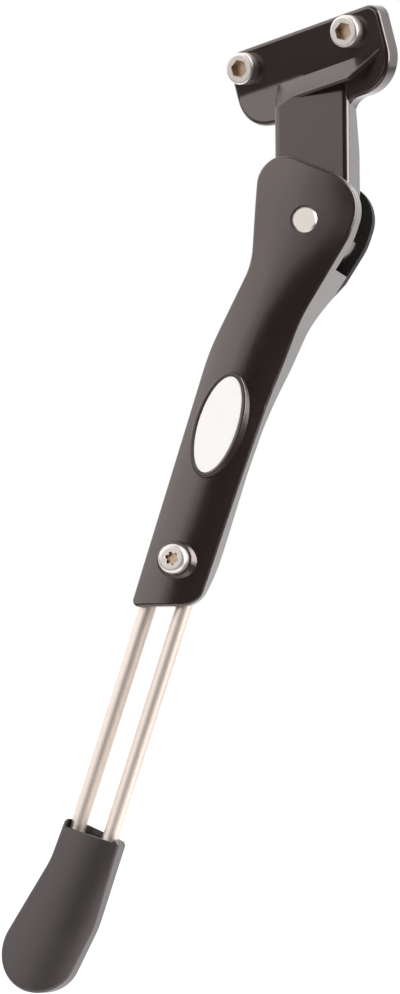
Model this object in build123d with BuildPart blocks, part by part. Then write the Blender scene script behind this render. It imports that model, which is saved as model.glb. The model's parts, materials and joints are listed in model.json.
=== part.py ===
"""Rear bicycle kickstand with a folding leg and a telescoping foot.

The origin is the middle of the two mounting screws on the bracket's inner face. +Z is up, +X points
to the rear of the bicycle and +Y towards its wheel, so the outer side faces -Y. Millimetres.
"""
import os
from math import cos, radians, sin, sqrt, tan

from build123d import *

# Mounting screws
bolt_spacing = 40.0
bolt_line_tilt = 16.8
bolt_diameter = 6.0
bolt_grip_diameter = 5.4
bolt_length = 16.0
bolt_head_diameter = 10.0
bolt_head_height = 4.0
bolt_socket_width = 5.0
bolt_socket_depth = 2.4
bolt_edge_radius = 0.9
bolt_hole_clearance = 0.3

# Bracket flange, measured from the middle of the bolt line
flange_thickness = 6.0
flange_front_margin = 6.1
flange_rear_margin = 11.4
flange_top = 6.0
flange_bottom = 20.0
flange_front_top_radius = 5.0
flange_rear_top_radius = 4.0
flange_rear_bottom_radius = 12.0
flange_front_bottom_radius = 12.8
flange_edge_radius = 1.2
tongue_drop = 28.0
tongue_front = 12.7
tongue_rear = 10.3
tongue_front_radius = 0.5
tongue_rear_radius = 7.0

# Sloping ledge below the screw heads
ledge_drop = 8.2
ledge_slope = 45.0
ledge_height = 7.0
ledge_front = -4.5
ledge_rear_start = 19.0
ledge_rear_end = 30.0
ledge_tip_height = 0.4
ledge_crest_radius = 0.8
ear_slope = 14.0
ear_bend_radius = 8.0

# Tests that pick edges: distance from the ledge's slope, and how squarely a face looks outwards
edge_tolerance = 0.01
outward_share = 0.9

# Pivot, placed from the origin, and the turn of its axis away from -Y
pivot_rearward = 11.8
pivot_outward = 13.3
pivot_drop = 54.4
pivot_yaw = 16.0
pivot_tilt = 13.0
pivot_diameter = 8.0
pin_running_gap = 0.05
pin_press_gap = 0.01
pin_proud = 0.3
pin_chamfer = 0.5
pin_head_diameter = 12.0
pin_head_height = 1.6
pin_hole_chamfer = 0.5

# Neck of the bracket
neck_width = 23.6
neck_outer = 5.25
neck_inner = 7.25
neck_draft = 5.0
neck_lean = 4.5
neck_edge_radius = 2.0

# Leg outline: across the leg from the pivot (rear is +) and along it (up is +)
leg_rake = 14.4
fold_angle = 100.0
leg_length = 126.2
end_slant = 18.0
shank_offset = 6.3
shank_top_width = 23.2
shank_end_width = 20.7
head_front_top = (-22.3, 19.2)
head_rear_top = (14.8, 15.2)
hip_rear = (14.8, -1.0)
thigh_rear = (7.4, -29.0)
waist_front = (-12.6, -17.5)
shank_front_start = 47.0
shank_rear_start = 56.0
end_front_radius = 2.0
end_rear_radius = 7.0
shank_front_radius = 60.0
waist_radius = 22.0
head_front_radius = 8.7
head_rear_radius = 12.0
hip_radius = 20.0
thigh_radius = 55.0
shank_rear_radius = 110.0
leg_edge_radius = 1.0

# Leg section: depths from the pivot's middle plane, outer side +
slot_side_gap = 0.25
slot_stop_gap = 0.35
inner_cheek = 3.2
crown_top = 13.2
crown_half_width = 22.0
shank_crown_radius = 18.0
head_crown_radius = 90.0
head_crown_offset = 2.0
crown_reach = 150.0
crown_overrun = 14.0
crown_blend_start = 48.0
crown_blend_end = -2.0
crown_stations = 8
hip_back = 13.5
thigh_back = (-21.0, -5.8)
knee_back = (-32.0, -1.7)
calf_back = (-44.0, -0.3)
waist_back_top = (-65.0, 5.0)
waist_back_low = (-79.0, 5.4)
clamp_back_lead = 7.2
clamp_back_depth = 3.2
end_back_lead = 14.2
end_back_slope = 25.0
back_radius = 22.0

# Raised rim and bare badge
badge_length = 30.8
badge_width = 12.6
badge_gap = 0.15
badge_thickness = 0.8
badge_inset = 0.2
badge_drop = 67.8
badge_edge_radius = 0.3
rim_width = 1.3
rim_height = 1.1
rim_flank = 1.4
rim_outer_radius = 0.5
rim_inner_radius = 0.35

# Rod fork and its channel
rod_diameter = 5.0
rod_spacing = 11.1
rod_depth = 8.0
rod_top = 74.0
rod_bend = 233.0
rod_end_chamfer = 0.6
rod_slide_gap = 0.1
channel_top = 52.0

# Clamp screw, boss and clamp plate
clamp_end_distance = 15.0
clamp_diameter = 5.0
clamp_hole_gap = 0.2
clamp_thread_gap = 0.02
clamp_head_diameter = 9.2
clamp_head_height = 3.4
clamp_head_edge = 1.4
clamp_lobe_circle = 1.65
clamp_lobe_radius = 0.5
clamp_recess_depth = 1.7
clamp_tail = 0.5
boss_diameter = 10.6
boss_height = 0.8
boss_flank = 3.6
boss_edge_radius = 0.4
plate_length = 18.0
plate_thickness = 2.2
plate_side_gap = 0.2
plate_corner_radius = 2.0

# Detent plunger and spring
plunger_offset = 2.0
plunger_bore = 6.0
plunger_bore_depth = 30.0
plunger_gap = 0.1
plunger_lift = 0.35
plunger_dome_radius = 4.2
plunger_head_length = 6.0
plunger_stem_diameter = 3.0
plunger_stem_length = 7.0
notch_radius = 4.6
notch_depth = 1.2
spring_wire = 0.7
spring_turns = 6
spring_bore_gap = 0.2

# Rubber foot: corners across from the shank's middle line and along from the foot's top
foot_top = 198.6
foot_mouth_front = (-9.1, 1.8)
foot_mouth_rear = (10.0, 0.0)
foot_heel_start = (10.0, -27.5)
foot_heel = (6.4, -50.9)
foot_toe = (-21.2, -55.5)
foot_flare_start = (-9.7, -12.0)
foot_mouth_radius = 1.5
foot_heel_start_radius = 40.0
foot_heel_radius = 12.0
foot_toe_radius = 12.4
foot_flare_radius = 25.0
foot_outer_wall = 3.2
foot_inner_wall = 2.0
foot_outer_edge = 1.0
foot_inner_edge = 2.0
foot_pocket_gap = 0.05
foot_crown_turn = 5.0
foot_crown_front = (-22.0, -8.6)
foot_crown_front_pull = (-8.0, 2.8)
foot_shoulder_margin = 3.5
foot_shoulder_pull = 1.9
foot_shoulder_drop = 7.0
foot_lip_drop = 0.9


def turned_pivot_plane(degrees):
    """Pivot plane turned about its own normal, counter-clockwise as seen from outside."""
    swing = radians(degrees)
    across = pivot_plane.x_dir * cos(swing) + pivot_plane.y_dir * sin(swing)
    return Plane(pivot_centre, x_dir=across, z_dir=pivot_axis)


# Bracket plane: along the bolt line, across it, and outwards
tilt = radians(bolt_line_tilt)
mount_plane = Plane((0, 0, 0), x_dir=(cos(tilt), 0, sin(tilt)), z_dir=(0, -1, 0))
ledge_plane = Plane((0, 0, 0), x_dir=mount_plane.y_dir, z_dir=mount_plane.x_dir)

# Pivot plane: its normal is the pivot axis, pointing outwards
yaw = radians(pivot_yaw)
rise = radians(pivot_tilt)
pivot_centre = (pivot_rearward, -pivot_outward, -pivot_drop)
pivot_axis = (sin(yaw) * cos(rise), -cos(yaw) * cos(rise), sin(rise))
pivot_plane = Plane(pivot_centre, x_dir=(cos(yaw), sin(yaw), 0), z_dir=pivot_axis)
neck_plane = turned_pivot_plane(neck_lean)
shank_plane = turned_pivot_plane(-leg_rake)
side_plane = Plane(pivot_centre, x_dir=shank_plane.y_dir, z_dir=shank_plane.x_dir)

# Depths and radii that several pieces share
neck_thickness = neck_outer + neck_inner
neck_flare = neck_thickness * tan(radians(neck_draft))
neck_radius = neck_width / 2 + neck_flare
plunger_track = neck_width / 2 + (neck_outer - plunger_offset) * tan(radians(neck_draft))
pin_radius = pivot_diameter / 2
slot_front = neck_outer + slot_side_gap
slot_back = neck_inner + slot_side_gap
clevis_back = slot_back + inner_cheek
rod_radius = rod_diameter / 2
rim_top = crown_top + rim_height
badge_seat = rim_top - badge_thickness - badge_inset
boss_top = crown_top + boss_height
boss_radius = boss_diameter / 2
plate_top = rod_depth - rod_radius - rod_slide_gap
plate_back = plate_top - plate_thickness
bolt_ends = [-bolt_spacing / 2, bolt_spacing / 2]
clamp_drop = leg_length - clamp_end_distance
neck_reach = pivot_drop


def across_shank(along, across=0.0, depth=0.0):
    """Plane square to the shank, looking down it, with its y axis outwards."""
    origin = shank_plane.from_local_coords((across, along, depth))
    return Plane(origin, x_dir=shank_plane.x_dir, z_dir=-shank_plane.y_dir)


def polar(distance, degrees):
    """Point in the pivot plane at a distance and direction from the pivot."""
    return (distance * cos(radians(degrees)), distance * sin(radians(degrees)))


def crown_section(along):
    """Section of the leg's blank: flat sides under a parabola that is flatter at the head."""
    share = (along + crown_blend_start) / (crown_blend_start - crown_blend_end)
    share = min(max(share, 0.0), 1.0)
    ease = share**2 * (3 - 2 * share)
    centre = -shank_offset + ease * (shank_offset - head_crown_offset)
    curvature = (1 - ease) / shank_crown_radius + ease / head_crown_radius
    drop = curvature * crown_half_width**2 / 2
    front = centre - crown_half_width
    rear = centre + crown_half_width
    with BuildSketch(across_shank(along)) as section:
        with BuildLine():
            Bezier((front, crown_top - drop), (centre, crown_top + drop), (rear, crown_top - drop))
            Polyline(
                (rear, crown_top - drop),
                (rear, -2 * clevis_back),
                (front, -2 * clevis_back),
                (front, crown_top - drop),
            )
        make_face()
    return section.sketch


# Bracket neck: a drafted slab, widest at its inner face, with a round lower end about the pivot
with BuildPart() as neck:
    with BuildSketch(neck_plane.offset(-neck_inner)):
        Circle(neck_radius)
        with Locations((0, neck_reach / 2)):
            Rectangle(2 * neck_radius, neck_reach)
    extrude(amount=neck_thickness, taper=neck_draft)
    faces_by_depth = neck.faces().sort_by(Axis(pivot_centre, pivot_axis))
    fillet(faces_by_depth[0].edges() + faces_by_depth[-1].edges(), neck_edge_radius)

# Bracket flange: four corner radii, a tongue behind the neck, and a front half that slopes at its foot
flange_front = -bolt_spacing / 2 - flange_front_margin
flange_rear = bolt_spacing / 2 + flange_rear_margin
ear_rise = (tongue_drop - ledge_drop) * tan(radians(ear_slope))
with BuildSketch(mount_plane) as flange_outline:
    with BuildLine():
        FilletPolyline(
            (flange_front, flange_top),
            (flange_rear, flange_top),
            (flange_rear, -flange_bottom),
            (tongue_rear, -flange_bottom),
            (tongue_rear, -tongue_drop),
            (-tongue_front, -tongue_drop),
            (-tongue_front, -flange_bottom),
            (flange_front, -flange_bottom),
            radius=[
                flange_front_top_radius,
                flange_rear_top_radius,
                flange_rear_bottom_radius,
                tongue_rear_radius,
                0,
                0,
                tongue_front_radius,
                flange_front_bottom_radius,
            ],
            close=True,
        )
    make_face()


def rim_of(half):
    """Outer edges of half a flange's outer face, without those where the halves meet."""
    outer_faces = half.faces().filter_by(lambda face: face.normal_at().dot(mount_plane.z_dir) > outward_share)
    rim = ShapeList(edge for edge in outer_faces.edges() if not edge.is_interior)
    return rim.filter_by(lambda edge: abs(ledge_plane.to_local_coords(edge.center()).Z) > flange_edge_radius)


with BuildPart() as flange_rear_half:
    extrude(flange_outline.sketch, amount=flange_thickness)
    split(bisect_by=ledge_plane, keep=Keep.TOP)
    fillet(rim_of(flange_rear_half), flange_edge_radius)
with BuildPart() as flange_front_half:
    extrude(flange_outline.sketch, amount=flange_thickness + ear_rise)
    split(bisect_by=ledge_plane, keep=Keep.BOTTOM)
    with BuildSketch(ledge_plane):
        with BuildLine():
            FilletPolyline(
                (flange_top, flange_thickness),
                (-ledge_drop, flange_thickness),
                (-tongue_drop, flange_thickness + ear_rise),
                (-tongue_drop, 2 * flange_thickness + ear_rise),
                (flange_top, 2 * flange_thickness + ear_rise),
                radius=[0, ear_bend_radius, 0, 0, 0],
                close=True,
            )
        make_face()
    extrude(amount=2 * flange_rear, both=True, mode=Mode.SUBTRACT)
    fillet(rim_of(flange_front_half), flange_edge_radius)

# Ledge: a wedge along the bolt line that shrinks to a tip at the flange's rear edge
ledge_rise = tan(radians(ledge_slope))


def ledge_section(station, height):
    """Section of the ledge square to the bolt line: a sloping top, and an underside square to the flange."""
    crest_drop = ledge_drop + height / ledge_rise
    with BuildSketch(ledge_plane.offset(station)) as section:
        with BuildLine():
            Polyline(
                (-ledge_drop, flange_thickness / 2),
                (-ledge_drop, flange_thickness),
                (-crest_drop, flange_thickness + height),
                (-crest_drop, flange_thickness / 2),
                close=True,
            )
        make_face()
    return section.sketch


def is_crest(edge):
    """True for an edge that runs along the ledge, on its sloping top and off the flange."""
    ends = [ledge_plane.to_local_coords(edge @ share) for share in (0, 1)]
    above_slope = [end.Y - flange_thickness + (end.X + ledge_drop) * ledge_rise for end in ends]
    on_slope = [abs(gap) < edge_tolerance for gap in above_slope]
    off_flange = [end.Y > flange_thickness + edge_tolerance for end in ends]
    return all(on_slope + off_flange) and abs(ends[0].Z - ends[1].Z) > ledge_height


ledge_sections = [
    ledge_section(ledge_front, ledge_height),
    ledge_section(ledge_rear_start, ledge_height),
    ledge_section(ledge_rear_end, ledge_tip_height),
]
with BuildPart() as ledge:
    loft(ledge_sections, ruled=True)
    fillet(ledge.edges().filter_by(is_crest), ledge_crest_radius)

# Bracket: neck and ledge trimmed to the ramp and the inner face, with the flange, holes and notches
with BuildPart() as bracket:
    add(neck.part)
    add(ledge.part)
    trim_depth = 2 * pivot_outward + neck_thickness
    trim_drop = pivot_drop + neck_reach
    with BuildSketch(ledge_plane):
        with BuildLine():
            Polyline(
                (-ledge_drop, 0),
                (-ledge_drop, flange_thickness),
                (-ledge_drop - (trim_depth - flange_thickness) / ledge_rise, trim_depth),
                (-trim_drop, trim_depth),
                (-trim_drop, 0),
                close=True,
            )
        make_face()
    extrude(amount=bolt_spacing + neck_reach, both=True, mode=Mode.INTERSECT)
    add(flange_rear_half.part)
    add(flange_front_half.part)
    with BuildSketch(mount_plane):
        with Locations(*[(end, 0) for end in bolt_ends]):
            Circle(bolt_diameter / 2 + bolt_hole_clearance)
    extrude(amount=flange_thickness, mode=Mode.SUBTRACT)
    with BuildSketch(pivot_plane):
        Circle(pin_radius + pin_running_gap)
        notch_distance = plunger_track + notch_radius - notch_depth
        plunger_direction = -90 - leg_rake
        with Locations(
            polar(notch_distance, plunger_direction),
            polar(notch_distance, plunger_direction + fold_angle),
        ):
            Circle(notch_radius)
    extrude(amount=neck_thickness, both=True, mode=Mode.SUBTRACT)

# Mounting screws: low head, hexagon socket, reduced grip in the flange and full diameter beyond it
with BuildPart() as mounting_bolts:
    for end in bolt_ends:
        head_seat = mount_plane.from_local_coords((end, 0, flange_thickness))
        head_plane = Plane(head_seat, x_dir=mount_plane.x_dir, z_dir=mount_plane.z_dir)
        with BuildSketch(head_plane):
            Circle(bolt_head_diameter / 2)
        head = extrude(amount=bolt_head_height)
        fillet(head.faces().sort_by(Axis.Y)[0].edges(), bolt_edge_radius)
        with BuildSketch(head_plane):
            Circle(bolt_grip_diameter / 2)
        extrude(amount=-flange_thickness)
        with BuildSketch(head_plane.offset(-flange_thickness)):
            Circle(bolt_diameter / 2)
        stud = extrude(amount=flange_thickness - bolt_length)
        chamfer(stud.faces().sort_by(Axis.Y)[-1].edges(), bolt_edge_radius)
        with BuildSketch(head_plane.offset(bolt_head_height)):
            RegularPolygon(bolt_socket_width / 2, 6, major_radius=False)
        extrude(amount=-bolt_socket_depth, mode=Mode.SUBTRACT)

# Leg outline corners, from the front lower corner round by the head to the rear lower corner
end_front = -shank_offset - shank_end_width / 2
end_rear = -shank_offset + shank_end_width / 2
end_drop = tan(radians(end_slant)) * shank_end_width / 2
leg_corners = [
    (end_front, -leg_length - end_drop),
    (-shank_offset - shank_top_width / 2, -shank_front_start),
    waist_front,
    head_front_top,
    head_rear_top,
    hip_rear,
    thigh_rear,
    (-shank_offset + shank_top_width / 2, -shank_rear_start),
    (end_rear, -leg_length + end_drop),
]
leg_radii = [
    end_front_radius,
    shank_front_radius,
    waist_radius,
    head_front_radius,
    head_rear_radius,
    hip_radius,
    thigh_radius,
    shank_rear_radius,
    end_rear_radius,
]
crown_low = -crown_reach
end_back_run = crown_reach - leg_length + end_back_lead
end_back_depth = clamp_back_depth + end_back_run * tan(radians(end_back_slope))
crown_high = head_front_top[1] + crown_overrun
crown_step = (crown_high - crown_low) / (crown_stations - 1)
crown_sections = [crown_section(crown_low + station * crown_step) for station in range(crown_stations)]


def rim_outline(depth, margin):
    """Oval round the badge at a depth, wider than the badge by a margin on every side."""
    with BuildSketch(shank_plane.offset(depth)) as outline:
        with Locations((-shank_offset, -badge_drop)):
            Ellipse(badge_width / 2 + margin, badge_length / 2 + margin)
    return outline.sketch


def boss_outline(depth, radius):
    """Circle round the clamp screw at a depth."""
    with BuildSketch(shank_plane.offset(depth)) as outline:
        with Locations((-shank_offset, -clamp_drop)):
            Circle(radius)
    return outline.sketch


# Leg body: crowned casting with a clevis above and a channel for the rods behind
with BuildPart() as leg_body:
    with BuildSketch(shank_plane.offset(-clevis_back)):
        with BuildLine():
            FilletPolyline(*leg_corners, radius=leg_radii, close=True)
        make_face()
    extrude(amount=clevis_back + crown_top)
    loft(crown_sections, mode=Mode.INTERSECT)
    crown_face = leg_body.faces().sort_by(Axis(pivot_centre, pivot_axis))[-1]
    fillet(crown_face.edges(), leg_edge_radius)
    with BuildSketch(side_plane):
        with BuildLine():
            FilletPolyline(
                (-hip_back, -2 * clevis_back),
                (-hip_back, -clevis_back),
                thigh_back,
                knee_back,
                calf_back,
                waist_back_top,
                waist_back_low,
                (-clamp_drop + clamp_back_lead, clamp_back_depth),
                (-leg_length + end_back_lead, clamp_back_depth),
                (crown_low, end_back_depth),
                (crown_low, -2 * clevis_back),
                radius=[0, 0] + 7 * [back_radius] + [0, 0],
                close=True,
            )
        make_face()
    extrude(amount=leg_length, both=True, mode=Mode.SUBTRACT)
    # Raised rim for the badge and boss for the clamp screw
    rim = loft([rim_outline(rod_depth, rim_width + rim_flank), rim_outline(rim_top, rim_width)])
    fillet(rim.faces().sort_by(Axis(pivot_centre, pivot_axis))[-1].edges(), rim_outer_radius)
    boss = loft([boss_outline(rod_depth, boss_radius + boss_flank), boss_outline(boss_top, boss_radius)])
    fillet(boss.faces().sort_by(Axis(pivot_centre, pivot_axis))[-1].edges(), boss_edge_radius)
    with BuildSketch(shank_plane.offset(badge_seat)):
        with Locations((-shank_offset, -badge_drop)):
            Ellipse(badge_width / 2 + badge_gap, badge_length / 2 + badge_gap)
    extrude(amount=2 * badge_thickness, mode=Mode.SUBTRACT)
    rim_land = leg_body.faces().filter_by(GeomType.PLANE).sort_by(Axis(pivot_centre, pivot_axis))[-1]
    fillet(rim_land.inner_wires()[0].edges(), rim_inner_radius)
    # Clevis slot, bounded by the neck's sides at both ends of its swing
    slot_radius = neck_radius + slot_stop_gap
    stop_angle = 180 + neck_lean
    floor_angle = neck_lean - fold_angle
    stop_point = Vector(*polar(slot_radius, stop_angle))
    floor_point = Vector(*polar(slot_radius, floor_angle))
    stop_top = stop_point + Vector(*polar(neck_reach, stop_angle - 90))
    floor_end = floor_point + Vector(*polar(neck_reach, floor_angle + 90))
    with BuildSketch(pivot_plane.offset(-slot_back)):
        with BuildLine():
            Polyline(floor_point, floor_end, (floor_end.X, stop_top.Y), stop_top, stop_point)
            mid_angle = (stop_angle + floor_angle + 360) / 2
            ThreePointArc(stop_point, polar(slot_radius, mid_angle), floor_point)
        make_face()
    extrude(amount=slot_front + slot_back, mode=Mode.SUBTRACT)
    # Pin hole through both cheeks, plunger bore and rod channel
    with BuildSketch(pivot_plane):
        Circle(pin_radius + pin_press_gap)
    extrude(amount=2 * clevis_back, both=True, mode=Mode.SUBTRACT)
    with BuildSketch(pivot_plane.offset(crown_top - pin_hole_chamfer)):
        Circle(pin_radius + pin_press_gap + pin_hole_chamfer)
    extrude(amount=clevis_back, mode=Mode.SUBTRACT)
    with BuildSketch(across_shank(0, 0, plunger_offset)):
        Circle(plunger_bore / 2)
    extrude(amount=plunger_bore_depth, mode=Mode.SUBTRACT)
    channel_half = rod_spacing / 2 + rod_radius + rod_slide_gap
    with BuildSketch(across_shank(-channel_top, -shank_offset)):
        with Locations((0, rod_depth - clevis_back)):
            Rectangle(2 * channel_half, 2 * clevis_back)
        with Locations((-rod_spacing / 2, rod_depth), (rod_spacing / 2, rod_depth)):
            Circle(rod_radius + rod_slide_gap)
    extrude(amount=leg_length, mode=Mode.SUBTRACT)
    with BuildSketch(shank_plane.offset(rod_depth)):
        with Locations((-shank_offset, -clamp_drop)):
            Circle(clamp_diameter / 2 + clamp_hole_gap)
    extrude(amount=clevis_back, both=True, mode=Mode.SUBTRACT)

# Pivot pin: riveted head at the back, chamfered end showing at the front
pin_length = clevis_back + crown_top + pin_proud
with BuildPart() as pivot_pin:
    with BuildSketch(pivot_plane.offset(-clevis_back)):
        Circle(pin_radius)
    pin_shank = extrude(amount=pin_length)
    chamfer(pin_shank.faces().sort_by(Axis(pivot_centre, pivot_axis))[-1].edges(), pin_chamfer)
    with BuildSketch(pivot_plane.offset(-clevis_back)):
        Circle(pin_head_diameter / 2)
    pin_head = extrude(amount=-pin_head_height)
    fillet(pin_head.faces().sort_by(Axis(pivot_centre, pivot_axis))[0].edges(), pin_head_height / 2)

# Badge: bare oval plate with a softened edge
with BuildPart() as badge:
    with BuildSketch(shank_plane.offset(badge_seat)):
        with Locations((-shank_offset, -badge_drop)):
            Ellipse(badge_width / 2, badge_length / 2)
    extrude(amount=badge_thickness)
    fillet(badge.faces().sort_by(Axis(pivot_centre, pivot_axis))[-1].edges(), badge_edge_radius)

# Rod fork: one rod bent into a U
with BuildPart() as rod_fork:
    rod_front = -shank_offset - rod_spacing / 2
    rod_rear = -shank_offset + rod_spacing / 2
    with BuildLine(shank_plane.offset(rod_depth)):
        front_arm = Line((rod_front, -rod_top), (rod_front, -rod_bend))
        ThreePointArc(
            (rod_front, -rod_bend),
            (-shank_offset, -rod_bend - rod_spacing / 2),
            (rod_rear, -rod_bend),
        )
        Line((rod_rear, -rod_bend), (rod_rear, -rod_top))
    with BuildSketch(across_shank(-rod_top, rod_front, rod_depth)):
        Circle(rod_radius)
    sweep()
    arm_ends = rod_fork.faces().filter_by(GeomType.PLANE)
    chamfer(arm_ends.edges(), rod_end_chamfer)

# Clamp screw: pan head with a six-lobe recess
with BuildPart() as clamp_screw:
    clamp_place = (-shank_offset, -clamp_drop)
    with BuildSketch(shank_plane.offset(boss_top)):
        with Locations(clamp_place):
            Circle(clamp_head_diameter / 2)
    screw_head = extrude(amount=clamp_head_height)
    fillet(screw_head.faces().sort_by(Axis(pivot_centre, pivot_axis))[-1].edges(), clamp_head_edge)
    with BuildSketch(shank_plane.offset(boss_top)):
        with Locations(clamp_place):
            Circle(clamp_diameter / 2)
    extrude(amount=-(boss_top - plate_back + clamp_tail))
    with BuildSketch(shank_plane.offset(boss_top + clamp_head_height)):
        with Locations(clamp_place):
            Circle(clamp_lobe_circle)
            with PolarLocations(clamp_lobe_circle, 6):
                Circle(clamp_lobe_radius)
    extrude(amount=-clamp_recess_depth, mode=Mode.SUBTRACT)

# Clamp plate: tapped plate across the backs of both rods
with BuildPart() as clamp_plate:
    with BuildSketch(shank_plane.offset(plate_back)):
        with Locations((-shank_offset, -clamp_drop)):
            RectangleRounded(2 * (channel_half - plate_side_gap), plate_length, plate_corner_radius)
            Circle(clamp_diameter / 2 + clamp_thread_gap, mode=Mode.SUBTRACT)
    extrude(amount=plate_thickness)

# Detent plunger: domed head that rides on the neck's end, with a stem inside the spring
plunger_radius = plunger_bore / 2 - plunger_gap
plunger_tip = plunger_track + plunger_lift
dome_depth = plunger_dome_radius - sqrt(plunger_dome_radius**2 - plunger_radius**2)
spring_start = plunger_tip + plunger_head_length
with BuildPart() as detent_plunger:
    with BuildSketch(shank_plane.offset(plunger_offset)):
        with BuildLine():
            dome_edge = (plunger_radius, -plunger_tip - dome_depth)
            RadiusArc((0, -plunger_tip), dome_edge, plunger_dome_radius)
            Polyline(
                dome_edge,
                (plunger_radius, -spring_start),
                (plunger_stem_diameter / 2, -spring_start),
                (plunger_stem_diameter / 2, -spring_start - plunger_stem_length),
                (0, -spring_start - plunger_stem_length),
                (0, -plunger_tip),
            )
        make_face()
    revolve(axis=Axis(shank_plane.from_local_coords((0, 0, plunger_offset)), shank_plane.y_dir))

# Detent spring: coil between the plunger's shoulder and the bottom of its bore
spring_radius = plunger_bore / 2 - spring_bore_gap - spring_wire / 2
spring_height = plunger_bore_depth - spring_start - spring_wire
with BuildPart() as detent_spring:
    with BuildLine():
        coil = Helix(
            spring_height / spring_turns,
            spring_height,
            spring_radius,
            center=shank_plane.from_local_coords((0, -spring_start - spring_wire / 2, plunger_offset)),
            direction=-shank_plane.y_dir,
        )
    with BuildSketch(Plane(coil @ 0, z_dir=coil % 0)):
        Circle(spring_wire / 2)
    sweep(is_frenet=True)

# Rubber foot: flared towards the front, with a flat pocket for the fork
foot_back = rod_depth - rod_radius - foot_inner_wall
foot_depth = foot_inner_wall + rod_diameter + foot_outer_wall
foot_origin = shank_plane.from_local_coords((-shank_offset, -foot_top, foot_back))
crown_turn = radians(foot_crown_turn)
ridge_across = shank_plane.x_dir * cos(crown_turn) - shank_plane.y_dir * sin(crown_turn)
ridge_along = shank_plane.y_dir * cos(crown_turn) + shank_plane.x_dir * sin(crown_turn)
foot_crown_plane = Plane(foot_origin, x_dir=ridge_across, z_dir=-ridge_along)
with BuildPart() as foot:
    with BuildSketch(Plane(foot_origin, x_dir=shank_plane.x_dir, z_dir=pivot_axis)):
        with BuildLine():
            FilletPolyline(
                foot_mouth_front,
                foot_mouth_rear,
                foot_heel_start,
                foot_heel,
                foot_toe,
                foot_flare_start,
                radius=[
                    foot_mouth_radius,
                    foot_mouth_radius,
                    foot_heel_start_radius,
                    foot_heel_radius,
                    foot_toe_radius,
                    foot_flare_radius,
                ],
                close=True,
            )
        make_face()
    extrude(amount=foot_depth)
    # Crowned outer face, with its ridge turned towards the toe and a rounder shoulder at the rear
    foot_shoulder = foot_heel_start[0] + foot_shoulder_margin
    crown_start = (foot_crown_front[0], foot_depth + foot_crown_front[1])
    crown_end = (foot_shoulder, foot_depth - foot_shoulder_drop)
    with BuildSketch(foot_crown_plane):
        with BuildLine():
            Bezier(
                crown_start,
                (foot_crown_front_pull[0], foot_depth + foot_crown_front_pull[1]),
                (foot_shoulder, foot_depth + foot_shoulder_pull),
                crown_end,
            )
            Polyline(
                crown_end,
                (foot_shoulder, -foot_depth),
                (foot_crown_front[0], -foot_depth),
                crown_start,
            )
        make_face()
    extrude(amount=foot_top, both=True, mode=Mode.INTERSECT)
    foot_faces = foot.faces().sort_by(Axis(pivot_centre, pivot_axis))
    fillet(foot_faces[-1].edges(), foot_outer_edge)
    foot_faces = foot.faces().sort_by(Axis(pivot_centre, pivot_axis))
    fillet(foot_faces[0].edges(), foot_inner_edge)
    pocket_half = rod_spacing / 2 + rod_radius + foot_pocket_gap
    pocket_top = foot_top - foot_mouth_front[1]
    with BuildSketch(shank_plane.offset(rod_depth - rod_radius - foot_pocket_gap)):
        with Locations((-shank_offset, -rod_bend)):
            Circle(pocket_half)
        with Locations((-shank_offset, -(rod_bend + pocket_top) / 2)):
            Rectangle(2 * pocket_half, rod_bend - pocket_top)
    extrude(amount=rod_diameter + 2 * foot_pocket_gap, mode=Mode.SUBTRACT)
    # The outer wall's lip lies lower than the ears beside it
    with BuildSketch(shank_plane.offset(rod_depth)):
        with Locations((-shank_offset, -foot_top - foot_lip_drop)):
            Rectangle(2 * pocket_half, foot_depth, align=(Align.CENTER, Align.MIN))
    extrude(amount=foot_depth, mode=Mode.SUBTRACT)

pieces = {
    "bracket": bracket,
    "mounting_bolts": mounting_bolts,
    "leg_body": leg_body,
    "pivot_pin": pivot_pin,
    "badge": badge,
    "clamp_screw": clamp_screw,
    "clamp_plate": clamp_plate,
    "rod_fork": rod_fork,
    "foot": foot,
    "detent_plunger": detent_plunger,
    "detent_spring": detent_spring,
}
os.makedirs("parts", exist_ok=True)
for name, piece in pieces.items():
    piece.part.label = name
    export_step(piece.part, f"parts/{name}.step")
    print(f"{name}: {piece.part.volume / 1000:.2f} cm3")
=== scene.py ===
# %% [markdown]
# # A folding bicycle kickstand
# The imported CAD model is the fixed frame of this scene: every solid already has its real place and
# size, in metres. This lesson adds what the solids lack, which is threads on the screws, a finish for
# every surface, and a small photo studio whose lamps and cards show those finishes.

# %% Load the frame
import json

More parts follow.
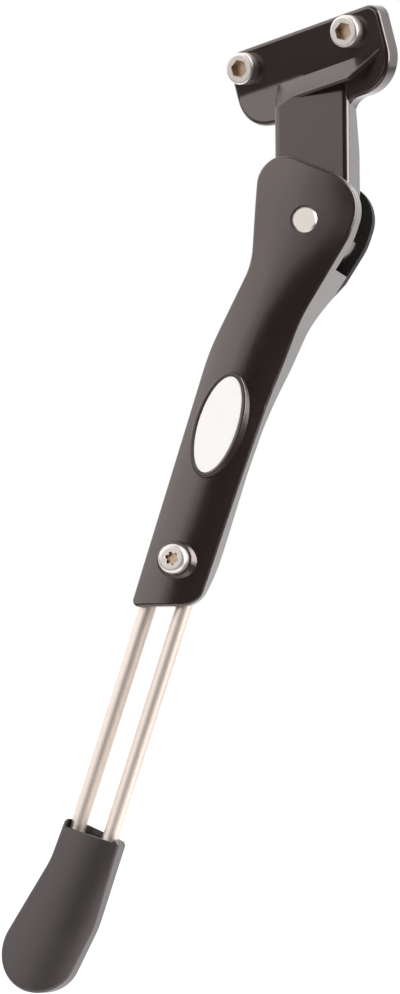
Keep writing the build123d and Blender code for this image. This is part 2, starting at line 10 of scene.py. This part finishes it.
import bpy
import numpy as np
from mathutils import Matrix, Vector


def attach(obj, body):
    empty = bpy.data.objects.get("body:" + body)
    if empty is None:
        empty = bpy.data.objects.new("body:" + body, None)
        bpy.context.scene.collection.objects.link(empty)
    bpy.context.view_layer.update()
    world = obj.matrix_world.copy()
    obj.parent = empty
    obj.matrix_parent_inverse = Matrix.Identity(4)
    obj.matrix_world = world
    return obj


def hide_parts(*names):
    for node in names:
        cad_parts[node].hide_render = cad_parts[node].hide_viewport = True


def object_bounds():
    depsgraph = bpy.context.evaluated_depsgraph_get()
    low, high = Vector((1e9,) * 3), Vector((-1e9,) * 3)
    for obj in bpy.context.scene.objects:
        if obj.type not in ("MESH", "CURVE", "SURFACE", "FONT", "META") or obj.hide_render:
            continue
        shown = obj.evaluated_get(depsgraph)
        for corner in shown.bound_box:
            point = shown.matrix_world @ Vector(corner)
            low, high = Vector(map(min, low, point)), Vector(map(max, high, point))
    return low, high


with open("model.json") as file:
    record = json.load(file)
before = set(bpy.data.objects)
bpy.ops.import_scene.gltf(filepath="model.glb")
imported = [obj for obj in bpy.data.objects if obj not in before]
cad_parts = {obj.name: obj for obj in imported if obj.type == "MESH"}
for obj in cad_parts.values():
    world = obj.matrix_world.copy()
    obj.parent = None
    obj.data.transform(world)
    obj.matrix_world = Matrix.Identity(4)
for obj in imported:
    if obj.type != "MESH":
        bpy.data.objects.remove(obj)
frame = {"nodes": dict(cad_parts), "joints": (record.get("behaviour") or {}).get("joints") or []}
nodes = frame["nodes"]
cad_low, cad_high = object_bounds()
print("CAD box:", [round(1000 * side, 1) for side in cad_high - cad_low], "mm")

# %% [markdown]
# ## The leg's own directions
# The leg leans, so its patterns and screws follow its own axes, not X, Y and Z. The folding joint
# gives the pivot's place and axis, and the length joint gives the direction down the leg.

# %% Directions from the joints
joints = {joint["name"]: joint for joint in frame["joints"]}
pivot = np.array(joints["leg_fold"]["pos_m"])
outward = np.array(joints["leg_fold"]["axis"])
down_leg = np.array(joints["length_adjust"]["axis"])
rearward = np.cross(outward, down_leg)
print("pivot at", (1000 * pivot).round(1), "mm; the leg runs along", down_leg.round(3))

# %% [markdown]
# ## Screws worked out on a grid
# A machine screw is a lathe shape with two features that a lathe can't make: the key's recess, which
# is not round, and the thread, which climbs as it turns. Both are still a radius that depends on the
# angle and on the place along the profile, so one grid of numbers holds the whole screw: rows follow
# the profile from the recess floor to the tip, and columns go round.

# %% Grids to one mesh
sharp_angle = 32


def round_mesh(name, grids, inner_rows):
    """Closed mesh from (rows, columns, 3) grids: in each grid the columns join into rings, and the mean
    of the first and of the last ring closes its ends. The first rows and their end take finish 1."""
    points, faces, finishes, start = [], [], [], 0
    for grid in grids:
        rows, columns, _ = grid.shape
        index = start + np.arange(rows * columns).reshape(rows, columns)
        beside = np.roll(index, -1, axis=1)
        hubs = np.full((2, columns), start + rows * columns) + [[0], [1]]
        faces += np.stack([index[:-1], index[1:], beside[1:], beside[:-1]], -1).reshape(-1, 4).tolist()
        faces += np.stack([index[0], beside[0], hubs[0]], -1).tolist()
        faces += np.stack([beside[-1], index[-1], hubs[1]], -1).tolist()
        row = np.concatenate([np.arange(rows - 1), [0, rows]])
        finishes.append(np.repeat(row < inner_rows, columns))
        points.append(np.concatenate([grid.reshape(-1, 3), grid[[0, -1]].mean(axis=1)]))
        start += rows * columns + 2
    mesh = bpy.data.meshes.new(name)
    mesh.from_pydata(np.concatenate(points).tolist(), [], faces)
    mesh.polygons.foreach_set("material_index", np.concatenate(finishes).astype(np.int32))
    mesh.shade_smooth()
    mesh.set_sharp_from_angle(angle=np.radians(sharp_angle))
    return mesh


def in_scene(name, data):
    """A new object with its data, linked into the scene."""
    thing = bpy.data.objects.new(name, data)
    bpy.context.scene.collection.objects.link(thing)
    return thing


def new_piece(mesh, body, node):
    """The mesh as an object at the origin that rides on a body and stands for a CAD node."""
    piece = in_scene(mesh.name, mesh)
    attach(piece, body)
    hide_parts(node)
    print(piece.name, "has", len(mesh.polygons), "faces")
    return piece


# %% Recesses for the keys
ring_points = 144
angles = np.linspace(0, 2 * np.pi, ring_points, endpoint=False)[None, :]


def hexagon(across_flats):
    """Distance from the middle to a hexagon's edge: half the width over the cosine of the angle from
    the nearest flat's middle."""
    from_flat = (angles + np.pi / 6) % (np.pi / 3) - np.pi / 6
    return across_flats / 2 / np.cos(from_flat)


def six_lobe(inner, outer):
    """Six soft lobes: a cosine of six times the angle between the inner and the outer radius."""
    return (inner + outer) / 2 + (outer - inner) / 2 * np.cos(6 * angles)


print("corner radius of a 5 mm hexagon:", round(float(hexagon(5.0).max()), 3), "mm")

# %% One screw as a grid
recess_chamfer = 0.15
recess_floor_share = 0.4
thread_depth_share = 0.6
edge_rows, face_rows, rows_per_turn = 9, 8, 14


def stretch(start, end, count):
    """Evenly spaced numbers from start to end, as a column."""
    return np.linspace(start, end, count)[:, None]


def screw_grid(recess, depth, head, height, edge, grip, stud, pitch, threads, tip):
    """Height along the screw's axis and radius of every grid point, in millimetres, with zero at the
    head's seat. The profile's parts are joined in order: recess floor and wall, head face, a quarter
    round of the given edge, head side, seat, plain grip, threads and a coned tip. The thread is a
    cosine ripple of the radius that turns once for every pitch of height."""
    ring = np.ones_like(angles)
    turn = stretch(0, np.pi / 2, edge_rows)
    lip = recess + recess_chamfer
    face = lip + stretch(0, 1, face_rows) * (head - edge - lip)
    ridge = thread_depth_share * pitch
    length = stretch(threads[0], threads[1], int(rows_per_turn * (threads[0] - threads[1]) / pitch))
    fade = np.clip((length - threads[1]) / pitch, 0, 1) * np.clip((threads[0] - length) / pitch, 0, 1)
    ripple = ridge / 2 * fade * (np.cos(2 * np.pi * length / pitch + angles) - 1)
    parts = [
        ((height - depth) * ring, recess_floor_share * recess),
        ((height - depth) * ring, recess),
        ((height - recess_chamfer) * ring, recess),
        (height + 0 * face, face),
        (height - edge * (1 - np.cos(turn)) * ring, head - edge * (1 - np.sin(turn)) * ring),
        (0 * ring, head * ring),
        (0 * ring, grip * ring),
        (threads[0] * ring, grip * ring),
        (length * ring, stud + ripple),
        (tip * ring, (stud - ridge / 2) * ring),
    ]
    return [np.concatenate(column) for column in zip(*parts)]


def place_screw(along, radius, seat, axis, side):
    """Points in metres: the seat, plus the height along the axis, plus the radius turned round it."""
    ring = np.cos(angles)[..., None] * side + np.sin(angles)[..., None] * np.cross(axis, side)
    return seat + 0.001 * (along[..., None] * axis + radius[..., None] * ring)


print("every ring of a screw has", ring_points, "points, and every turn of thread", rows_per_turn, "rings")

# %% [markdown]
# ## The two mounting screws
# These are M6 socket screws with low heads, 40 mm apart on a line that climbs to the rear. Their heads
# look outwards and their threads stand out of the bracket's inner face, where the bicycle's frame
# takes them. Both go into one mesh, because they are one node in the CAD.

# %% Mounting screws
bolt_spacing = 0.040
flange_thickness = 0.006
climb = np.radians(16.8)
bolt_line = np.array([np.cos(climb), 0, np.sin(climb)])
head_axis = np.array([0.0, -1.0, 0.0])
bolt_profile = screw_grid(
    recess=hexagon(5.0), depth=2.4, head=5.0, height=4.0, edge=0.9,
    grip=2.7, stud=3.0, pitch=1.0, threads=(-6.0, -15.5), tip=-16.0,
)
flange_face = flange_thickness * head_axis
bolt_places = [flange_face + half * bolt_line for half in (-bolt_spacing / 2, bolt_spacing / 2)]
bolt_grids = [place_screw(*bolt_profile, place, head_axis, bolt_line) for place in bolt_places]
mounting_mesh = round_mesh("mounting_screws", bolt_grids, inner_rows=2)
mounting_screws = new_piece(mounting_mesh, "bracket", "mounting_bolts")

# %% [markdown]
# ## The clamp screw
# One M5 pan-head screw with a six-lobe recess squeezes the rods between the leg and a plate behind
# them. It stands on a small boss on the leg's crown, square to the crown's middle line.

# %% Clamp screw
clamp_drop, clamp_forward, boss_top = 0.1112, 0.0063, 0.0140
clamp_profile = screw_grid(
    recess=six_lobe(1.5, 2.15), depth=1.7, head=4.6, height=3.4, edge=1.4,
    grip=2.5, stud=2.5, pitch=0.8, threads=(-6.0, -11.1), tip=-11.3,
)
clamp_seat = pivot + clamp_drop * down_leg - clamp_forward * rearward + boss_top * outward
clamp_grid = place_screw(*clamp_profile, clamp_seat, outward, rearward)
clamp_mesh = round_mesh("clamp_screw_six_lobe", [clamp_grid], inner_rows=2)
clamp_screw = new_piece(clamp_mesh, "leg", "clamp_screw")

# %% [markdown]
# ## Colours and nodes
# Finishes are written as the sRGB hex codes that a colour picker shows, and the shader needs them as
# linear light, so one function converts them. Another adds a node with its settings, fixed values and
# links in one line, which keeps each material short enough to read as a recipe.

# %% Helpers for nodes
def linear(code):
    """Linear RGBA from an sRGB hex code: each channel over 12.92 near black, and otherwise the usual
    power of 2.4."""
    channel = np.array([int(code[at:at + 2], 16) for at in (1, 3, 5)]) / 255
    light = np.where(channel <= 0.04045, channel / 12.92, ((channel + 0.055) / 1.055) ** 2.4)
    return (*light.tolist(), 1.0)


def connect(tree, node, values, links):
    """Give a node's sockets their fixed values and their links from (node, output) pairs."""
    for socket, value in values.items():
        node.inputs[socket].default_value = value
    for socket, (source, output) in links.items():
        tree.links.new(source.outputs[output], node.inputs[socket])


def add(tree, kind, values=None, links=None, **settings):
    """A new node with its settings, its fixed socket values and its links."""
    node = tree.nodes.new(kind)
    for name, value in settings.items():
        setattr(node, name, value)
    connect(tree, node, values or {}, links or {})
    return node


print("a paper white of #ededed is", round(linear("#ededed")[0], 3), "in linear light")

# %% [markdown]
# ## Patterns
# Real finishes are never one flat colour, so each of them starts from a pattern with a size in
# millimetres that is fixed to the object. The same pattern then moves the tone between two colours, the
# gloss between two values, and the surface up and down by a few hundredths of a millimetre.

# %% Helpers for finishes
def finish_called(name):
    """A new material with its tree and its surface shader."""
    material = bpy.data.materials.new(name)
    material.use_nodes = True
    return material, material.node_tree, material.node_tree.nodes["Principled BSDF"]


def per_metre(size_mm):
    """Texture scale whose pattern repeats about every size_mm millimetres."""
    return 1000 / size_mm


def noise(tree, size_mm, detail, place=None):
    """Noise with features about size_mm millimetres across, fixed to the object unless a place is given."""
    place = place or (add(tree, "ShaderNodeTexCoord"), "Object")
    values = {"Scale": per_metre(size_mm), "Detail": detail}
    return add(tree, "ShaderNodeTexNoise", values, {"Vector": place})


def two_tones(tree, pattern, dark, light):
    """Colour that goes from dark to light as a pattern goes from 0 to 1."""
    ramp = add(tree, "ShaderNodeValToRGB", links={"Fac": (pattern, "Fac")})
    ramp.color_ramp.elements[0].color = linear(dark)
    ramp.color_ramp.elements[1].color = linear(light)
    return ramp


def between(tree, pattern, least, most):
    """Number that goes from least to most as a pattern goes from 0 to 1."""
    return add(tree, "ShaderNodeMapRange", {"To Min": least, "To Max": most}, {"Value": (pattern, "Fac")})


def relief(tree, pattern, strength, height_mm):
    """Normal of a surface that a pattern raises by up to height_mm millimetres."""
    values = {"Strength": strength, "Distance": height_mm / 1000}
    return add(tree, "ShaderNodeBump", values, {"Height": (pattern, "Fac")})


def dress(material, *names):
    """Put a material on CAD nodes, in place of their plain one."""
    for name in names:
        nodes[name].data.materials.clear()
        nodes[name].data.materials.append(material)
    print(material.name, "on", ", ".join(names))


print("a pattern of 1 mm has a scale of", per_metre(1.0))

# %% [markdown]
# ## Satin black paint
# The bracket and the leg are forged and cast aluminium under a sprayed black paint with a satin lacquer.
# Sprayed paint is never a mirror: it dries with a faint ripple, called orange peel, and its gloss varies
# a little. A bump from noise about a millimetre across gives the ripple, and a slower noise moves the
# roughness and the tone, so a long highlight wavers as it does on a real casting. A forging has a
# smoother skin than a casting, so the bracket's paint is glossier than the leg's.

# %% Satin black paint
def sprayed_paint(name, smoothest, roughest, node):
    """Black paint on a CAD node, with its roughness wandering between two values."""
    paint, tree, shader = finish_called(name)
    peel = noise(tree, 1.1, 2.0)
    cloud = noise(tree, 9.0, 3.0)
    tone = two_tones(tree, cloud, "#1b1514", "#251d1c")
    gloss = between(tree, cloud, smoothest, roughest)
    ripple = relief(tree, peel, 0.25, 0.02)
    lacquer = {"Coat Weight": 1.0, "Coat Roughness": smoothest}
    connect(
        tree, shader,
        {"IOR": 1.6, "Specular Tint": linear("#ffe4dc"), **lacquer},
        {"Base Color": (tone, "Color"), "Roughness": (gloss, "Result"), "Normal": (ripple, "Normal")},
    )
    dress(paint, node)


sprayed_paint("satin_black_paint_on_forging", 0.17, 0.23, "bracket")
sprayed_paint("satin_black_paint_on_casting", 0.25, 0.32, "leg_body")

# %% [markdown]
# ## Matte black with painted shade inside the clevis
# The far cheek of the clevis is matte, with a fine grain, and its tone is darker than the paint's: painted
# shade for the hollow between the cheeks. Its faces are picked by their depth behind the pivot's middle
# plane.

# %% Matte black with painted shade
cheek_depth, cheek_drop = 0.0065, 0.030
clevis_shade_matte, tree, shader = finish_called("matte_black_painted_shade")
dust = noise(tree, 0.8, 4.0)
# The tone is darker than the paint's: painted shade for the hollow between the cheeks.
tone = two_tones(tree, dust, "#120e0e", "#241e1d")
grit = relief(tree, dust, 0.3, 0.03)
connect(tree, shader, {"Roughness": 0.75}, {"Base Color": (tone, "Color"), "Normal": (grit, "Normal")})
leg_faces = nodes["leg_body"].data.polygons
centres = np.empty(3 * len(leg_faces))
leg_faces.foreach_get("center", centres)
from_pivot = centres.reshape(-1, 3) - pivot
far_cheek = (from_pivot @ outward < -cheek_depth) & (from_pivot @ down_leg < cheek_drop)
leg_faces.foreach_set("material_index", far_cheek.astype(np.int32))
nodes["leg_body"].data.materials.append(clevis_shade_matte)
print(clevis_shade_matte.name, "on", int(far_cheek.sum()), "faces of the far cheek")

# %% [markdown]
# ## Stainless screws
# Stainless screw heads are cold formed and tumbled, which leaves a bright but slightly frosted face with
# fine scratches in no direction. A metal has no colour under its reflection, so its base colour is the
# tint of the reflection: stainless is a warm grey.

# %% Stainless steel
stainless, tree, shader = finish_called("stainless_steel_tumbled")
scuff = noise(tree, 0.25, 2.0)
tint = two_tones(tree, scuff, "#ece5de", "#faf5f0")
gloss = between(tree, scuff, 0.42, 0.5)
marks = relief(tree, scuff, 0.1, 0.005)
connect(
    tree, shader,
    {"Metallic": 1.0},
    {"Base Color": (tint, "Color"), "Roughness": (gloss, "Result"), "Normal": (marks, "Normal")},
)
for piece in (mounting_screws, clamp_screw):
    piece.data.materials.append(stainless)
print(stainless.name, "on the screws")

# %% [markdown]
# ## Recesses with painted shade
# The key's recess is punched and never polished. It keeps a metal's shine under a warm, darker tint,
# patchy with a noise, which is painted shade for the hollow.

# %% Recess with painted shade
recess_shade_steel, tree, shader = finish_called("stainless_steel_recess_painted_shade")
shade_patches = noise(tree, 1.5, 3.0)
# A warm, darker tint painted into the recess as shade.
tint = two_tones(tree, shade_patches, "#c6ac92", "#f0d9c2")
connect(tree, shader, {"Metallic": 1.0, "Roughness": 0.4}, {"Base Color": (tint, "Color")})
for piece in (mounting_screws, clamp_screw):
    piece.data.materials.append(recess_shade_steel)
print(recess_shade_steel.name, "in the recesses")

# %% [markdown]
# ## Turned steel
# The pivot pin was cut on a lathe, which leaves rings about its axis. The rings are a wave of the
# distance from that axis: a Mapping node first moves the pattern to the pivot and turns its Z along the
# pin. Real feed marks are about 0.1 mm apart, too fine to show here, so they are drawn at 0.5 mm. The
# clamp plate, the plunger and its spring are inside the leg and share the finish.

# %% Turned steel
# A wave texture of scale 1 repeats about every 0.314 units
wave_period = 0.314
turned, tree, shader = finish_called("turned_steel_pin")
to_pin = Vector(outward).to_track_quat("Z", "Y").inverted()
place = add(tree, "ShaderNodeTexCoord")
about = add(
    tree, "ShaderNodeMapping",
    {"Location": to_pin @ Vector(-pivot), "Rotation": to_pin.to_euler()},
    {"Vector": (place, "Object")},
)
rings = add(
    tree, "ShaderNodeTexWave",
    {"Scale": wave_period * per_metre(0.5), "Distortion": 1.0, "Detail": 2.0},
    {"Vector": (about, "Vector")},
    wave_type="RINGS", rings_direction="Z",
)
tint = two_tones(tree, rings, "#ded6ce", "#ece6df")
marks = relief(tree, rings, 0.15, 0.01)
connect(
    tree, shader,
    {"Metallic": 1.0, "Roughness": 0.36},
    {"Base Color": (tint, "Color"), "Normal": (marks, "Normal")},
)
dress(turned, "pivot_pin", "clamp_plate", "detent_plunger", "detent_spring")

# %% [markdown]
# ## Drawn rod
# The fork is a 5 mm rod that was pulled through a die and nickel plated. Drawing leaves hair lines along
# the rod, so the noise that makes them is stretched along it, after a Mapping node has turned its Z down
# the leg.

# %% Drawn steel rod
hair_stretch = 50
drawn, tree, shader = finish_called("drawn_steel_rod_nickel_plated")
to_rod = Vector(down_leg).to_track_quat("Z", "Y").inverted()
place = add(tree, "ShaderNodeTexCoord")
along_rod = add(tree, "ShaderNodeMapping", {"Rotation": to_rod.to_euler()}, {"Vector": (place, "Object")})
pull = {"Scale": (1, 1, 1 / hair_stretch)}
pulled = add(tree, "ShaderNodeMapping", pull, {"Vector": (along_rod, "Vector")})
hairs = noise(tree, 0.35, 3.0, (pulled, "Vector"))
tint = two_tones(tree, hairs, "#f2e5da", "#fcf2e9")
gloss = between(tree, hairs, 0.48, 0.56)
marks = relief(tree, hairs, 0.1, 0.005)
connect(
    tree, shader,
    {"Metallic": 1.0, "Coat Weight": 0.5, "Coat Roughness": 0.15},
    {"Base Color": (tint, "Color"), "Roughness": (gloss, "Result"), "Normal": (marks, "Normal")},
)
dress(drawn, "rod_fork")

# %% [markdown]
# ## Moulded rubber
# The foot is black rubber from a bead-blasted mould, so it has a very fine grain. Rubber is rarely black:
# carbon black and a light bloom of wax make it a warm dark grey. The wax also gives it a soft, wide sheen,
# which a high refractive index stands for.

# %% Moulded rubber
rubber, tree, shader = finish_called("moulded_rubber_matte")
grain = noise(tree, 0.6, 3.0)
bloom = noise(tree, 12.0, 3.0)
tone = two_tones(tree, bloom, "#2a2626", "#332e2e")
gloss = between(tree, bloom, 0.32, 0.4)
skin = relief(tree, grain, 0.3, 0.03)
connect(
    tree, shader,
    {"IOR": 1.8, "Specular Tint": linear("#fff3f4")},
    {"Base Color": (tone, "Color"), "Roughness": (gloss, "Result"), "Normal": (skin, "Normal")},
)
dress(rubber, "foot")

# %% [markdown]
# ## White badge
# The badge is a bare oval of glossy white plastic. Its tone wanders by a hair and its gloss has the slight
# swim of a moulded face.

# %% White badge
badge_white, tree, shader = finish_called("white_plastic_gloss")
swim = noise(tree, 5.0, 2.0)
tone = two_tones(tree, swim, "#f8f7f6", "#fcfbfa")
gloss = between(tree, swim, 0.2, 0.3)
connect(tree, shader, {"IOR": 1.46}, {"Base Color": (tone, "Color"), "Roughness": (gloss, "Result")})
dress(badge_white, "badge")

# %% [markdown]
# ## The camera
# The photograph looks at the outer side from 34 degrees towards the rear and 7 degrees above, from far
# enough away that the stand hardly narrows with distance.

# %% Camera
def towards(azimuth, elevation):
    """Unit vector from the stand: azimuth 0 is straight out from the bicycle, positive to the rear."""
    turn, lift = np.radians(azimuth), np.radians(elevation)
    return Vector((np.sin(turn) * np.cos(lift), -np.cos(turn) * np.cos(lift), np.sin(lift)))


def look_back(thing, middle, azimuth, elevation, distance):
    """Put a lamp or camera at a distance from the middle, turned to look back at it."""
    thing.location = middle + distance * towards(azimuth, elevation)
    thing.rotation_euler = (-towards(azimuth, elevation)).to_track_quat("-Z", "Y").to_euler()


aim = Vector((-0.03916, -0.00205, -0.14317))
lens = bpy.data.cameras.new("photo_lens")
lens.lens = 134.7
camera = in_scene("photo_camera", lens)
look_back(camera, aim, azimuth=34, elevation=7, distance=1.2)
bpy.context.scene.camera = camera
bpy.context.scene.view_settings.view_transform = "Standard"
print("camera at", [round(side, 3) for side in camera.location])

# %% [markdown]
# ## Soft lamps
# Black paint shows what it reflects, so the lamps are placed by reflection. The leg's crown turns the
# left half of its width towards the front left, where a wide soft box stands. The ledge looks up, where a
# second one hangs. A bright strip at the right rear draws the thin white lines on the rounded right
# edges. A lamp's brightness is set as the light that its face sends, with 1 as white paper in plain
# light, and its power follows from its area.

# %% Lamps
def soft_box(name, azimuth, elevation, distance, width, height, brightness):
    """Area lamp that faces the stand. Power is brightness times pi times the area."""
    lamp = bpy.data.lights.new(name, "AREA")
    lamp.shape = "RECTANGLE"
    lamp.size, lamp.size_y = width, height
    lamp.energy = brightness * np.pi * width * height
    lamp.color = linear("#fff8f6")[:3]
    look_back(in_scene(name, lamp), aim, azimuth, elevation, distance)
    print(name, "gives", round(lamp.energy, 1), "W")


soft_box("front_left_soft_box", -48, 29, distance=1.7, width=2.8, height=1.2, brightness=0.66)
soft_box("overhead_soft_box", -100, 70, distance=1.6, width=1.6, height=1.6, brightness=0.65)
soft_box("right_strip_box", 114, 25, distance=1.7, width=1.2, height=2.0, brightness=6.0)

# %% [markdown]
# ## White surroundings
# The background is plain white. The world is white to what looks at it straight or in a reflection, and
# gives the diffuse surfaces a quieter fill, so the white costs no contrast.

# %% World
pure_white = (1, 1, 1, 1)
fill_strength = 0.68


def looked_at(tree):
    """1 for rays that look straight, in a reflection or through glass, and 0 for other light."""
    ray = add(tree, "ShaderNodeLightPath")
    straight = {0: (ray, "Is Camera Ray"), 1: (ray, "Is Glossy Ray")}
    seen = add(tree, "ShaderNodeMath", links=straight, operation="MAXIMUM")
    through = {0: (seen, "Value"), 1: (ray, "Is Transmission Ray")}
    return add(tree, "ShaderNodeMath", links=through, operation="MAXIMUM")


def mix(tree, share, first, second):
    """Mix of two shaders: the first where the share is 0 and the second where it is 1."""
    return add(tree, "ShaderNodeMixShader", links={"Fac": share, 1: first, 2: second})


world = bpy.data.worlds.new("white_studio")
world.use_nodes = True
bpy.context.scene.world = world
tree = world.node_tree
tree.nodes.clear()
fill = add(tree, "ShaderNodeBackground", {"Color": pure_white, "Strength": fill_strength})
white = add(tree, "ShaderNodeBackground", {"Color": pure_white, "Strength": 1.0})
either = mix(tree, (looked_at(tree), "Value"), (fill, "Background"), (white, "Background"))
add(tree, "ShaderNodeOutputWorld", links={"Surface": (either, "Shader")})
print("the world is white to the eye and", fill_strength, "to diffuse surfaces")

# %% [markdown]
# ## Floor
# The stand hangs from its screws, and its foot can be let out, so the floor lies where the foot reaches
# at its longest. The first cell makes a flat grid for it.

# %% Floor mesh
floor_half_width, floor_rows, floor_gap = 6, 25, 0.001
reach = joints["length_adjust"]["range_m"][1] * abs(down_leg[2])
floor_level = cad_low.z - reach - floor_gap


def sheet(name, points):
    """Open mesh from a (rows, columns, 3) grid of points, with one face for each cell of the grid."""
    rows, columns, _ = points.shape
    cell = np.arange(rows * columns).reshape(rows, columns)
    quads = np.stack([cell[:-1, :-1], cell[1:, :-1], cell[1:, 1:], cell[:-1, 1:]], -1).reshape(-1, 4)
    mesh = bpy.data.meshes.new(name)
    mesh.from_pydata(points.reshape(-1, 3).tolist(), [], quads.tolist())
    return mesh


across = np.linspace(-floor_half_width, floor_half_width, floor_rows)
east, north = np.meshgrid(across, across, indexing="ij")
floor_mesh = sheet("studio_floor", np.stack([east, north, np.full_like(east, floor_level)], -1))
floor = in_scene("studio_floor", floor_mesh)
print("floor at", round(1000 * floor_level, 1), "mm")

# %% [markdown]
# ## Floor paper
# Near the stand the floor is paper that keeps the shadow, with enough glow of its own to reach white, and
# further out it fades to plain white. To the light that bounces off it, it is plain white paper.

# %% Floor paper
fade_start, fade_end = 0.3, 0.9
paper = bpy.data.materials.new("white_paper_floor")
paper.use_nodes = True
tree = paper.node_tree
tree.nodes.clear()
place = add(tree, "ShaderNodeTexCoord")
flat = add(tree, "ShaderNodeVectorMath", {1: (1, 1, 0)}, {0: (place, "Object")}, operation="MULTIPLY")
away = add(tree, "ShaderNodeVectorMath", links={0: (flat, "Vector")}, operation="LENGTH")
far = add(
    tree, "ShaderNodeMapRange",
    {"From Min": fade_start, "From Max": fade_end},
    {"Value": (away, "Value")},
    interpolation_type="SMOOTHSTEP",
)
bounce = add(tree, "ShaderNodeBsdfDiffuse", {"Color": linear("#ededed")})
keeps = add(tree, "ShaderNodeBsdfDiffuse", {"Color": linear("#a8a8a8")})
glow = add(tree, "ShaderNodeEmission", {"Color": pure_white, "Strength": 0.66})
plain = add(tree, "ShaderNodeEmission", {"Color": pure_white, "Strength": 1.0})
near = add(tree, "ShaderNodeAddShader", links={0: (keeps, "BSDF"), 1: (glow, "Emission")})
look = mix(tree, (far, "Result"), (near, "Shader"), (plain, "Emission"))
either = mix(tree, (looked_at(tree), "Value"), (bounce, "BSDF"), (look, "Shader"))
add(tree, "ShaderNodeOutputMaterial", links={"Surface": (either, "Shader")})
floor_mesh.materials.append(paper)
print("the shadow fades out", fade_start, "to", fade_end, "m from the stand")

# %% [markdown]
# ## Cards
# A photographer of black, shiny things stands cards where the reflection should be darker. These are
# curved round the stand and show only in reflections. Two behind the camera darken the right half of the
# leg's crown, and one overhead darkens the top edge of its head. A low one at the front left is for the
# flange. Two lie on the floor for what looks down: the edges, the screw boss and the rods' right sides.
# A grey one at the left takes some light off the ledge.

# %% Cards
card_columns, card_rows = 24, 6
black_matte, grey_matte = "#0c0c0c", "#acacac"
just_above_floor = floor_level + 0.002


def studio_card(name, colour, azimuths, start, end):
    """Curved card round the stand: an angle by a share of the way between two (distance, height) pairs."""
    turns = np.radians(np.linspace(*azimuths, card_columns))
    turn, share = np.meshgrid(turns, np.linspace(1, 0, card_rows), indexing="ij")
    distance = start[0] + share * (end[0] - start[0])
    level = start[1] + share * (end[1] - start[1])
    points = np.stack([aim.x + distance * np.sin(turn), aim.y - distance * np.cos(turn), level], -1)
    mesh = sheet(name, points)
    matte, tree, shader = finish_called(name + "_matte")
    connect(tree, shader, {"Base Color": linear(colour), "Roughness": 0.9}, {})
    mesh.materials.append(matte)
    card = in_scene(name, mesh)
    card.visible_camera = False
    card.visible_diffuse = False
    card.visible_shadow = False
    print(name, "stands", start[0], "to", end[0], "m away")


studio_card("card_behind_camera", black_matte, (6, 86), (1.5, floor_level), (1.5, 0.3))
studio_card("card_over_camera", black_matte, (15, 86), (1.5, 0.3), (1.5, 1.1))
studio_card("card_overhead", black_matte, (-40, 86), (1.1, 1.25), (0.1, 1.5))
studio_card("low_card_front_left", black_matte, (-80, 6), (4.0, floor_level), (4.0, 0.5))
studio_card("card_on_floor", black_matte, (-80, 86), (0.4, just_above_floor), (1.5, just_above_floor))
studio_card("card_on_floor_right", black_matte, (86, 152), (0.14, just_above_floor), (1.2, just_above_floor))
studio_card("grey_card_left", grey_matte, (-135, -82), (1.5, 0.75), (1.5, 2.4))
